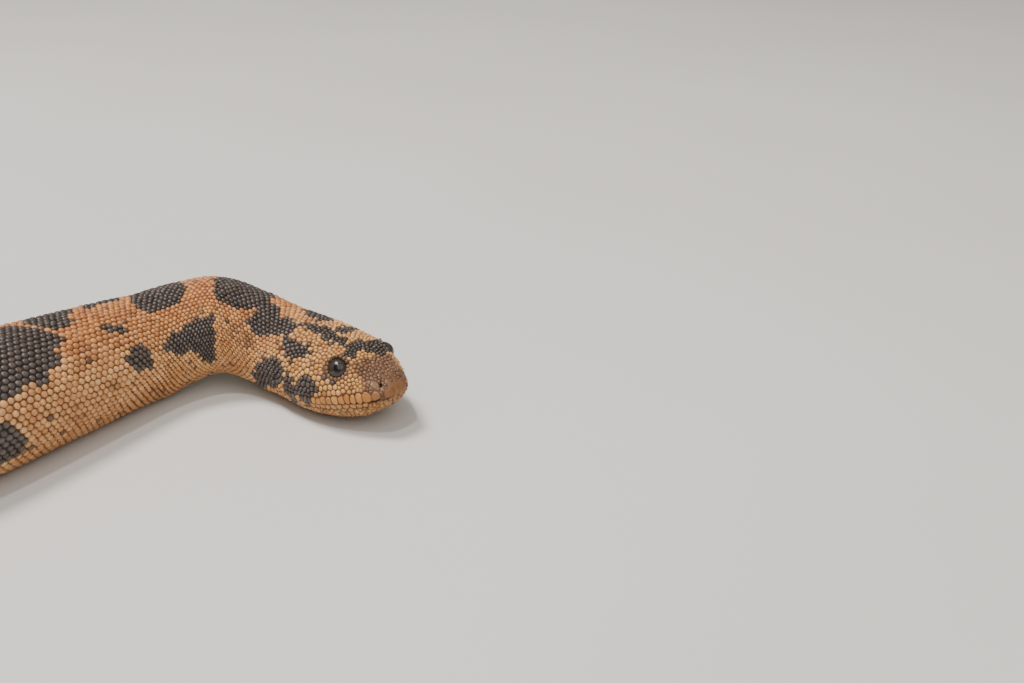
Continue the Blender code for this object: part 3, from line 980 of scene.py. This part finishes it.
def lay_honeycomb(name, start, end, template, seed):
    """Lays every scale of a stretch of body and marks it dark or light."""
    rng = np.random.default_rng(seed)
    reach, direction, faces = template
    cells = honeycomb(start, end)
    many, (root, root_around) = len(cells), cells[:, :2].T
    centre, sideways, pitch, width = (cells[:, i : i + 1] for i in range(4))
    centre = centre + pitch * rng.normal(0, PLACE_JITTER, pitch.shape)
    sideways = sideways + width * rng.normal(0, PLACE_JITTER, pitch.shape)
    size = rng.normal(1.015, 0.05, pitch.shape).clip(0.88, 1.12)
    tailward, roundward = np.cos(direction), np.sin(direction)
    spread = hexagon(direction) * reach * size
    lap = through(LAP, centre)
    along = centre + spread * pitch * tailward * (1 + 0.16 * lap * (tailward > 0))
    points, normal = skin_surface(along, angle_at(along, sideways + spread * width * roundward))
    tilt_along, tilt_round = rng.normal(0, TILT_JITTER, (2, *pitch.shape))
    plump = 0.84 + 0.32 * rng.random(pitch.shape)
    height = through(DOME_HEIGHT, centre) * np.sqrt(width / pitch) * (
        dome(reach) * (plump + through(KEEL, centre) * np.abs(tailward) ** 8)
        + (lap * 0.42 + tilt_along) * (reach * tailward)
        + tilt_round * (reach * roundward)
    )
    points = points + normal * height[..., None]
    gap = blotch_distance(root, root_around) + rng.normal(0, 0.22, many)
    dusk = dusk_at(root, root_around)
    flecks = (rng.random(many) < 0.025) * rng.uniform(0.3, 0.8, many)
    values = {
        "dark": np.where(gap < 0, 1.0, np.maximum(flecks, 0.5 * dusk * rng.random(many))),
        "vary": tone_beside(gap, rng.random(many)),
        "low": np.abs(root_around) / half_round(root),
        "lip": np.zeros(many),
        "gold": golden(root),
    }
    uv = bake_patches(root, root_around, reach, direction)
    return join_scales(name, points, faces, values, reach, uv)


STRETCHES = {
    "nape": 58.0, "neck": 94.0, "shoulder": 134.0, "front": 250.0, "middle": 380.0, "rear": 510.0,
    "vent": 600.0, "tail": 677.5,
}
SEEN_CLOSE = 134.0
FIRST_SEED = 20
body_coats, start = [], LATTICE_START
for i, (stretch, end) in enumerate(STRETCHES.items()):
    template = CLOSE_SCALE if end <= SEEN_CLOSE else FAR_SCALE
    body_coats.append(lay_honeycomb("scales_" + stretch, start, end, template, FIRST_SEED + i))
    start = end

# %% [markdown]
# The head has no rows. Its scales are beads of many sizes that have settled against one another,
# round a few larger shields: the broad rostral at the tip of the snout, the nasals, a ring round
# each eye, and the lip shields above and below the mouth. The shields are placed first. The
# beads are then scattered and pushed apart until they lie evenly, and each one grows until it
# meets its neighbours.

# %% Seeds of the head's scales
HEAD_ROWS = np.concatenate([[0.01, 0.06, 0.14, 0.26, 0.42, 0.64, 0.86], np.arange(1.05, 34, 0.3)])
HEAD_ANGLES = np.linspace(-180, 180, 121)
GRID_POINTS, GRID_NORMALS = (
    part.reshape(-1, 3) for part in skin_surface(HEAD_ROWS[:, None], HEAD_ANGLES[None, :])
)
GRID_FACES = grid_faces(len(HEAD_ROWS), len(HEAD_ANGLES))
HEAD_TREE = BVHTree.FromPolygons([Vector(p) for p in GRID_POINTS], GRID_FACES)
way = math.radians(SNOUT_HEADING)
TAILWARD = np.array((math.cos(way), math.sin(way), 0))
seeds = []


def settle(points):
    """Nearest points of the smooth head skin, with their outward directions."""
    found, facing = [], []
    for point in points.reshape(-1, 3):
        place, normal, face, _ = HEAD_TREE.find_nearest(Vector(point))
        outside = np.dot(normal, GRID_NORMALS[GRID_FACES[face][0]]) > 0
        found.append(place)
        facing.append(normal if outside else -normal)
    return np.array(found).reshape(points.shape), np.array(facing).reshape(points.shape)


def body_place(points):
    """Along and around of points near the head, from the grid's nearest point."""
    best = [((GRID_POINTS - point) ** 2).sum(1).argmin() for point in points]
    row, column = np.divmod(best, len(HEAD_ANGLES))
    return HEAD_ROWS[row], around_at(HEAD_ROWS[row], HEAD_ANGLES[column])


def on_front(side, height):
    """The place on the snout that is seen from straight ahead at this side and height."""
    tail = Vector(TAILWARD)
    start = Vector(in_world(np.array([0.0]), np.array([side]), np.array([height]))[0])
    hit, _, _, distance = HEAD_TREE.ray_cast(start - tail * 8, tail)
    if hit is None or distance > 12:
        hit = HEAD_TREE.find_nearest(start + tail * 0.4)[0]
    return np.array(hit)


def sow(place, size, kind, limit=None):
    """Notes a scale's place, half size, kind and, in one direction, its edge."""
    seeds.append((np.asarray(place, float), size, kind, limit))


def on_skin(at, angle):
    """One point of the skin."""
    return skin_surface(np.array([float(at)]), np.array([float(angle)]))[0][0]


def lip_seeds(kind, middle, width, start, end, size):
    """A row of lip shields on both sides, each held off the mouth line."""
    at, count = start, 0
    while at < end:
        here_at = np.array([at])
        angle = mouth_angle(here_at)
        tall = float(np.interp(at, *np.array(middle).T)) * rng.uniform(0.86, 1.12)
        on_line = around_at(here_at, angle) + tall
        line_run = surface(here_at + 0.5, angle)[0] - surface(here_at, angle)[0]
        step = width * rng.uniform(0.78, 1.24) * (1.0 if at < 10 else 0.86)
        for side in (1, -1):
            here = on_skin(at, side * angle_at(here_at, on_line)[0])
            sow(here, max(size, abs(tall)), kind, on_skin(at, side * angle[0]) - here)
        at += step / (np.linalg.norm(line_run) / 0.5)
        count += 1
    return count


rng = np.random.default_rng(5)
UPPER_HEIGHT = ((2, -1.1), (4, -1.25), (7, -1.2), (9, -0.95), (13, -0.8), (23, -0.7))
LOWER_HEIGHT = ((2, 0.6), (8, 0.62), (23, 0.6))
upper = lip_seeds("upper lip", UPPER_HEIGHT, 1.4, 3.0, MOUTH_CORNER, 0.6)
lower = lip_seeds("lower lip", LOWER_HEIGHT, 1.42, 3.3, MOUTH_CORNER + 0.4, 0.6)
for side, height, size in (
    (0, 6.95, 1.15), (1.15, 6.95, 1.1), (-1.15, 6.95, 1.1), (2.3, 6.85, 0.9), (-2.3, 6.85, 0.9),
    (0, 7.9, 0.75), (1.1, 7.8, 0.72), (-1.1, 7.8, 0.72), (0, 5.95, 0.5), (1.3, 5.95, 0.5),
    (-1.3, 5.95, 0.5), (2.4, 6.1, 0.5), (-2.4, 6.1, 0.5),
):
    sow(on_front(side, height), size, "rostral")
sow(on_skin(2.3, 180), 0.95, "lower lip")
RING_SCALES, RING_RADIUS, RING_OUT = 17, 2.38, 1.2
for side in (1, -1):
    for at, angle, size, kind in (
        (1.35, 12, 0.62, "nasal"), (2.6, 9, 0.55, "nasal"), (0.95, 46, 0.5, "nasal"),
        (2.5, 43, 0.85, "nasal"), (NOSTRIL_AT, NOSTRIL_ANGLE, 0.18, "nostril"),
        (2.14, 24, 0.16, "nostril"), (1.48, 38, 0.16, "nostril"), (1.4, 84, 1.05, "upper lip"),
    ):
        sow(on_skin(at, side * angle), size, kind)
    centre, look = eye_frame(side)
    rim_up = np.cross(look, (0.0, 0.0, 1.0))
    rim_up /= np.linalg.norm(rim_up)
    rim_side = np.cross(look, rim_up)
    for i in range(RING_SCALES):
        turn = 2 * math.pi * (i + 0.5) / RING_SCALES
        outward_way = math.cos(turn) * rim_up + math.sin(turn) * rim_side
        here = settle((centre + look * RING_OUT + RING_RADIUS * outward_way)[None])[0][0]
        kind = "brow" if outward_way[2] > 0.35 else "eye ring"
        sow(here, 0.40, kind, -outward_way * (0.62 if kind == "brow" else 0.5))
    sow(centre + look * RING_OUT, 1.85, "eye")
FLANK_POINTS, FENCE_STEP = 205, 0.45
front_line = mouth_line()[FLANK_POINTS:-FLANK_POINTS]
reached = np.concatenate([[0], np.cumsum(np.linalg.norm(np.diff(front_line, axis=0), axis=1))])
for place_on in np.arange(0, reached[-1], FENCE_STEP):
    sow([np.interp(place_on, reached, front_line[:, i]) for i in range(3)], 0.22, "mouth line")
print(upper, "upper and", lower, "lower lip shields a side,", len(seeds), "fixed seeds")

# %% Scatter the beads and push them apart
HEAD_PITCH = ((0, 0.78), (6, 0.82), (12, 0.86), (20, 0.98), (28, 1.14))
TRIES, PUSHES = 34000, 24
FREE_OF_SHIELDS, FREE_OF_BEADS = 0.86, 0.80
PUSH_APART_TO, PUSH_SHARE = 1.12, 0.28
first_body_rows = honeycomb(LATTICE_START, LATTICE_START + 2.6)
guard_points, _ = skin_surface(first_body_rows[:, 0], angle_at(*first_body_rows[:, :2].T))
guard_size = first_body_rows[:, 2] * 0.5
fixed_place = np.concatenate([[seed[0] for seed in seeds], guard_points])
fixed_size = np.concatenate([[seed[1] for seed in seeds], guard_size])

try_along = rng.uniform(0.3, LATTICE_START - 0.2, TRIES)
try_angle = rng.uniform(-180, 180, TRIES)
try_points, _ = skin_surface(try_along, try_angle)
try_around = np.abs(around_at(try_along, try_angle))
try_size = 0.5 * through(HEAD_PITCH, try_along) * rng.normal(1, 0.1, TRIES).clip(0.78, 1.28)
on_cheek = ease((try_around - 8) / 3) * ease((16 - try_around) / 2) * ease((20 - try_along) / 5)
try_size *= 1 + 0.34 * on_cheek
bead_place, bead_size = np.empty((0, 3)), np.empty(0)
for point, size in zip(try_points, try_size):
    gap = np.linalg.norm(fixed_place - point, axis=1) / (fixed_size + size)
    if gap.min() < FREE_OF_SHIELDS:
        continue
    if len(bead_place):
        gap = np.linalg.norm(bead_place - point, axis=1) / (bead_size + size)
        if gap.min() < FREE_OF_BEADS:
            continue
    bead_place = np.vstack([bead_place, point])
    bead_size = np.append(bead_size, size)
sizes = np.concatenate([bead_size, fixed_size])
for turn in range(PUSHES):
    away = bead_place[:, None, :] - np.concatenate([bead_place, fixed_place])[None, :, :]
    distance = np.linalg.norm(away, axis=2) + 1e-9
    want = bead_size[:, None] + sizes[None, :]
    push = np.clip(PUSH_APART_TO - distance / want, 0, 1)
    push[np.arange(len(bead_place)), np.arange(len(bead_place))] = 0
    step = (away / distance[..., None] * (push * want)[..., None]).sum(1)
    bead_place = settle(bead_place + PUSH_SHARE * step)[0]
for point, size in zip(bead_place, bead_size):
    sow(point, size, "bead")
print(len(bead_place), "beads on the head")


# %% Let each head scale grow to its neighbours
CELL_SOFTNESS = 9.0
NEIGHBOURS_WITHIN = 2.6
GROWTH_LIMIT = 1.6


def grow(chosen, fill):
    """Vertices of the chosen scales, each reaching to the halfway line to its neighbours."""
    reach, direction, _ = CLOSE_SCALE
    place = np.concatenate([[seed[0] for seed in seeds], guard_points])
    size = np.concatenate([[seed[1] for seed in seeds], guard_size])
    kinds = np.array([seed[2] for seed in seeds] + ["guard"] * len(guard_points))
    size[kinds == "mouth line"] = 0.06
    middle, facing = settle(place[chosen])
    east = TAILWARD - facing * (facing @ TAILWARD)[:, None]
    east /= np.linalg.norm(east, axis=1, keepdims=True)
    north = np.cross(facing, east)
    points = np.empty((len(chosen), len(reach), 3))
    for n, i in enumerate(chosen):
        away = place - place[i]
        distance = np.linalg.norm(away, axis=1)
        near = (distance > 1e-6) & (distance < NEIGHBOURS_WITHIN * (size[i] + size))
        if "lip" in kinds[i]:
            near &= kinds != ("lower lip" if kinds[i] == "upper lip" else "upper lip")
        x, y = away[near] @ east[n], away[near] @ north[n]
        stretch = np.minimum(distance[near] / (np.hypot(x, y) + 1e-9), 1.6)
        x, y = x * stretch, y * stretch
        meet = np.hypot(x, y) * size[i] / (size[i] + size[near])
        angles = np.arctan2(y, x)
        limit = seeds[i][3]
        if limit is not None:
            meet = np.append(meet, np.linalg.norm(limit) + 0.02)
            angles = np.append(angles, math.atan2(limit @ north[n], limit @ east[n]))
        pull = np.maximum(np.cos(direction[:, None] - angles[None, :]), 0) / meet[None, :]
        spread = (pull**CELL_SOFTNESS).sum(1) ** (-1 / CELL_SOFTNESS)
        shift = reach * (np.minimum(spread, GROWTH_LIMIT * size[i]) * fill[n])
        points[n] = (
            middle[n]
            + east[n] * (shift * np.cos(direction))[:, None]
            + north[n] * (shift * np.sin(direction))[:, None]
        )
    return settle(points)


HEAD_DOME = {
    "bead": 0.38, "upper lip": 0.34, "lower lip": 0.2, "nasal": 0.14, "eye ring": 0.2, "brow": 0.62,
}
small = [i for i, seed in enumerate(seeds) if seed[2] in HEAD_DOME]
kinds = np.array([seeds[i][2] for i in small])
many = len(small)
reach, direction, faces = CLOSE_SCALE
along, around = body_place(settle(np.array([seeds[i][0] for i in small]))[0])
on_snout = ease((7.5 - along) / 4) * ease((9.5 - np.abs(around)) / 2.5)
landed, normals = grow(small, 0.95 + 0.1 * on_snout)
low_share = np.abs(around) / np.maximum(half_round(along), 0.5)
first_lips = (kinds == "upper lip") & (along < 2.6)
height = np.array([HEAD_DOME[kind] for kind in kinds])[:, None] * dome(reach)[None, :]
flattening = (1 - 0.45 * ease((low_share - 0.62) / 0.15)) * (1 - 0.45 * on_snout)
flattening *= np.where(first_lips, 0.6, 1.0)
height *= rng.uniform(0.8, 1.25, (many, 1)) * flattening[:, None]
tilt_along, tilt_round = rng.normal(0, 0.05, (2, many, 1))
height += reach * (tilt_along * np.cos(direction) + tilt_round * np.sin(direction))
landed = landed + normals * height[..., None]

gap = blotch_distance(along, around) + rng.normal(0, 0.34, many)
dusky_reach = np.interp(along, (0, 2.5, 4.5, 9), (10.5, 9, 6.6, 6.2))
snout = ease((9.4 - along) / 3) * ease((dusky_reach - np.abs(around)) / 2.5)
canthus = ease((8.2 - along) / 3) * ease((8.4 - np.abs(around)) / 2)
flecks = (rng.random(many) < 0.04) * rng.uniform(0.2, 0.6, many)
shade = np.maximum(flecks, 0.72 * snout * rng.uniform(0.7, 1.0, many))
shade = np.maximum(shade, 0.26 * canthus * rng.uniform(0.2, 1.2, many))
sooty = (rng.random(many) < 0.3) & (along > 6.8) & (snout > 0.3)
tip = ease((4.6 - along) / 2.5) * ease((9 - np.abs(around)) / 2)
shade = np.maximum(shade, tip * rng.uniform(0.2, 0.42, many))
# Beads low under the head are browned: painted shade under the jaw.
shade = np.maximum(shade, (low_share > 0.6) * rng.uniform(0.12, 0.28, many))
shade = np.where(sooty | (gap < 0), 1.0, shade)
lips = (kinds == "upper lip") | (kinds == "lower lip")
dark_lip = lips & (along > 11.5) & (rng.random(many) < 0.45)
shade = np.where(lips, np.where(dark_lip, 0.85, 0.0), shade)
# The lower lip shields are browned too, as painted shade under the jaw.
shade = np.where(kinds == "lower lip", np.maximum(shade, 0.2), shade)
shade = np.where(first_lips, 0.28, shade)
shade = np.where(kinds == "eye ring", rng.uniform(0.5, 0.7, many), shade)
shade = np.where(kinds == "brow", np.maximum(shade, rng.uniform(0.45, 0.75, many)), shade)
shade = np.where(kinds == "nasal", rng.uniform(0.44, 0.58, many), shade)
vary = tone_beside(gap, rng.random(many))
values = {
    "dark": shade,
    "vary": np.where(kinds == "nasal", 0.3 * vary, vary),
    "low": lowness(along, around),
    "lip": np.where(kinds == "upper lip", rng.uniform(0.4, 1.0, many), 0.0),
    "gold": golden(along),
}
uv = bake_patches(along, around, reach, direction)
head_coat = join_scales("scales_head", landed, faces, values, reach, uv)

# %% The rostral shield
reach, direction, faces = PLATE
half_wide, level_up, tall_up, tall_down = 3.15, 6.95, 1.6, 1.5
ROSTRAL_DOME = 0.24
cosine, sine = np.cos(direction), np.sin(direction)
across, upward = (reach * np.sign(share) * np.abs(share) ** 0.75 for share in (cosine, sine))
rostral_height = level_up + upward * np.where(upward > 0, tall_up, tall_down)
narrowing = (1 - 0.2 * np.clip(upward, 0, 1)) * (1 - 0.12 * np.clip(-upward, 0, 1))
rostral_side = half_wide * across * narrowing
landed, normals = settle(np.array([on_front(*at) for at in zip(rostral_side, rostral_height)]))
landed = landed + normals * (ROSTRAL_DOME * dome(reach))[:, None]
plan = 0.5 + 0.48 * reach[:, None] * np.stack([cosine, sine], -1)
rostral = join_scales("rostral_shield", landed[None], faces, {"vary": [0.3]}, reach, plan[None])
note(rostral, "top", ease((upward - 0.1) / 0.7))

# %% [markdown]
# Under the belly lies one row of broad shields, each lapping the next like roof tiles. They are
# narrow on a burrowing snake, and they are laid as bands across the flat of the belly.

# %% Belly shields
BELLY_START, BELLY_END, BELLY_STEP, BELLY_SHARE = 29.0, 672.0, 3.4, 0.47
band = np.linspace(-1, 1, 9)
run = np.array([-0.5, -0.2, 0.2, 0.48, 0.56])
lift = np.array([0.0, 0.1, 0.2, 0.3, 0.04])
centres = np.arange(BELLY_START, BELLY_END, BELLY_STEP)
many = len(centres)
along = centres[:, None, None] + BELLY_STEP * run[:, None] + 0.25 * BELLY_STEP * (1 - band**2)
away = BELLY_SHARE * through(HALF_WIDTH, along) * band
edge = half_round(along)
points, normal = skin_surface(along, angle_at(along, np.where(away >= 0, edge, -edge) - away))
points = points + normal * (lift[:, None] * (1 - 0.7 * band**6))[..., None]
u = 0.01 + 0.98 * (centres - BELLY_START) / np.ptp(centres)
u = u[:, None, None] + BAKE_PATCH * np.linspace(-0.5, 0.5, len(run))[:, None]
uv = np.stack(np.broadcast_arrays(u, np.linspace(0.02, 0.98, len(band))), -1)
belly = join_scales(
    "belly_shields", points.reshape(many, -1, 3), grid_faces(len(run), len(band)),
    {"vary": np.random.default_rng(8).random(many)}, None, uv,
)

# %% [markdown]
# The eyes are small, glossy and almost black, each under one clear scale instead of lids. The
# pupil is an upright ellipse in a dark grey-brown iris. Each eyeball carries its own UV map, with
# the pupil at its middle, so the iris can be painted round it.

# %% Eyes
LOOK_FORWARD = 0.34


def eyeball(name, side, node):
    """A ball in its socket, turned a little forwards, with a UV map centred on the pupil."""
    centre, look = eye_frame(side)
    deselect()
    bpy.ops.mesh.primitive_uv_sphere_add(segments=48, ring_count=32, radius=EYE_RADIUS)
    ball = bpy.context.object
    ball.name = ball.data.name = name
    coords = np.array([v.co for v in ball.data.vertices])
    look = look - LOOK_FORWARD * TAILWARD
    look /= np.linalg.norm(look)
    up = np.array((0.0, 0.0, 1.0)) - look * look[2]
    up /= np.linalg.norm(up)
    across = np.cross(up, look)
    bulge = 1 + 0.04 * np.clip(coords[:, 2:3] / EYE_RADIUS, 0, 1) ** 4
    put(ball, centre + (coords * bulge) @ np.array([across, up, look]))
    layer = ball.data.uv_layers.active
    layer.name = "eye_plan"
    set_uv(ball, layer, 0.5 + coords[:, :2] / EYE_RADIUS * 0.5)
    bpy.ops.object.shade_smooth()
    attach(ball, "root")
    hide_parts(node)
    return ball


eyes = [eyeball("right_eye", 1, "eye_right"), eyeball("left_eye", -1, "eye_left")]
print("eyeballs", [len(e.data.polygons) for e in eyes])

# %% [markdown]
# Finishes. Light scales are orange tan on the back, yellower low on the flank and cream at the
# belly; dark ones are near black with a painted grey-brown sheen on their tops, and low on the
# flank their middles are painted lighter, as light thrown up from the ground. Each is darker at
# its rim, a painted shade where it dips into shadow.

# %% Scale finish
def scale_finish(name):
    """Paints each scale by the numbers noted on it."""
    paint = Finish(name)
    dark, vary = paint.attribute("dark"), paint.attribute("vary")
    low, lip, rim = paint.attribute("low"), paint.attribute("lip"), paint.attribute("rim")
    grain = paint.noise(5200.0, 3.0)
    mottle = paint.noise(1600.0, 3.0)
    patches = paint.noise(160.0, 2.0).between(0.35, 0.65)
    tone = vary * 0.65 + patches * 0.35
    back = blend(tone, (0.30, 0.092, 0.024), (0.56, 0.235, 0.073))
    flank = blend(tone, (0.45, 0.185, 0.06), (0.74, 0.42, 0.18))
    light = blend(low.between(0.15, 0.45), back, flank)
    gold = blend(tone, (0.44, 0.185, 0.05), (0.70, 0.385, 0.14))
    light = blend(paint.attribute("gold"), light, gold)
    light = blend(low.between(0.74, 0.92), light, (0.62, 0.45, 0.27))
    light = blend(lip, light, blend(vary, (0.40, 0.148, 0.028), (0.55, 0.235, 0.052)))
    light = blend(mottle.between(0.46, 0.72) * 0.42, light, (0.22, 0.073, 0.022))
    # Painted shade: each light scale darkens towards its rim, where it dips into the skin.
    light = blend(rim.between(0.66, 1.0) * 0.5, light, (0.14, 0.05, 0.016))
    black = blend(vary, (0.020, 0.013, 0.009), (0.046, 0.031, 0.024))
    # A painted grey-brown sheen on the middle of each dark scale.
    black = blend((1 - rim.between(0.05, 0.75)) * 0.5, black, (0.094, 0.068, 0.060))
    # Low on the flank the dark scales are painted lighter and warmer at their middles: painted
    # light thrown up from the ground.
    painted_flank_light = blend(vary, (0.050, 0.036, 0.030), (0.104, 0.082, 0.074))
    black = blend(low.between(0.12, 0.4) * (0.9 - rim.between(0.4, 0.9) * 0.75), black, painted_flank_light)
    brown = blend(vary, (0.105, 0.047, 0.021), (0.19, 0.094, 0.046))
    middle = blend(dark.between(0.02, 0.6), light, brown)
    colour = blend(dark.between(0.6, 0.95), middle, black)
    paint.bump(grain * 0.35 + mottle, 0.5, 0.0002)
    return paint.set(Base_Color=colour, Roughness=0.3 + grain * 0.24, Specular_IOR_Level=0.5)


coat_finish = scale_finish("sand_boa_scales")
for piece in body_coats + [head_coat]:
    piece.data.materials.append(coat_finish)

horn = Finish("sand_boa_rostral")
upright_streaks = horn.place().scaled((1.0, 1.0, 0.1))
streaks = horn.noise(2400.0, 3.0, upright_streaks)
horn_colour = blend(streaks.between(0.3, 0.7), (0.155, 0.062, 0.019), (0.30, 0.125, 0.038))
horn_colour = blend(horn.attribute("top") * 0.8, horn_colour, (0.13, 0.062, 0.030))
# Painted shade at the shield's rim, where it dips into the skin.
horn_rim_shade = horn.attribute("rim").between(0.88, 1.0) * 0.35
horn_colour = blend(horn_rim_shade, horn_colour, (0.1, 0.036, 0.012))
horn.bump(streaks, 0.5, 0.00015)
rostral.data.materials.append(
    horn.set(Base_Color=horn_colour, Roughness=0.42 + streaks * 0.2, Specular_IOR_Level=0.4)
)

# %% Skin, belly and eye finishes
hide = Finish("skin_between_scales")
hide_dark, hide_low = hide.attribute("dark"), hide.attribute("low")
# The skin between the scales is dark brown, paler low towards the belly: partly its own colour,
# partly painted shade for the gaps between the scales.
hide_tan_and_gap_shade = blend(hide_low.between(0.74, 0.92), (0.12, 0.044, 0.015), (0.40, 0.27, 0.16))
hide_colour = blend(hide_dark, hide_tan_and_gap_shade, (0.016, 0.012, 0.011))
# Painted shade in the pressed-in mouth line, eye sockets and nostrils.
hide_colour = blend(hide.attribute("pressed"), hide_colour, (0.02, 0.008, 0.005))
horny_tip = blend(hide.noise(900.0), (0.30, 0.12, 0.04), (0.46, 0.21, 0.08))
hide_colour = blend(hide.attribute("tail_tip"), hide_colour, horny_tip)
skin.data.materials.append(
    hide.set(Base_Color=hide_colour, Roughness=0.5 + hide.noise(700.0) * 0.15)
)

cream = Finish("belly_shields")
cream_tone = cream.attribute("vary") * 0.6 + cream.noise(150.0) * 0.4
belly.data.materials.append(
    cream.set(
        Base_Color=blend(cream_tone, (0.66, 0.55, 0.40), (0.78, 0.70, 0.56)),
        Roughness=0.35 + cream.noise(500.0) * 0.1,
    )
)

gloss = Finish("eye")
plan = Sock(gloss.tree, gloss.tree.nodes.new("ShaderNodeUVMap").outputs["UV"])
split = plan.node("ShaderNodeSeparateXYZ", Vector=plan)
eye_x = (Sock(gloss.tree, split.outputs["X"]) - 0.5) * 2.0
eye_y = (Sock(gloss.tree, split.outputs["Y"]) - 0.5) * 2.0
from_middle = (eye_x * eye_x + eye_y * eye_y) ** 0.5
pupil = ((eye_x * eye_x) * 8.5 + (eye_y * eye_y) * 5.0) ** 0.5
fibres = gloss.noise(2600.0, 4.0)
iris = blend(fibres, (0.014, 0.011, 0.009), (0.060, 0.047, 0.036))
iris = blend(from_middle.between(0.55, 0.8), iris, (0.012, 0.009, 0.008))
eye_colour = blend(pupil.between(0.94, 1.02), (0.002, 0.002, 0.002), iris)
eye_finish = gloss.set(
    Base_Color=eye_colour, Roughness=0.28, Coat_Weight=0.5, Coat_Roughness=0.08,
    Specular_IOR_Level=0.25,
)
for ball in eyes:
    ball.data.materials.append(eye_finish)
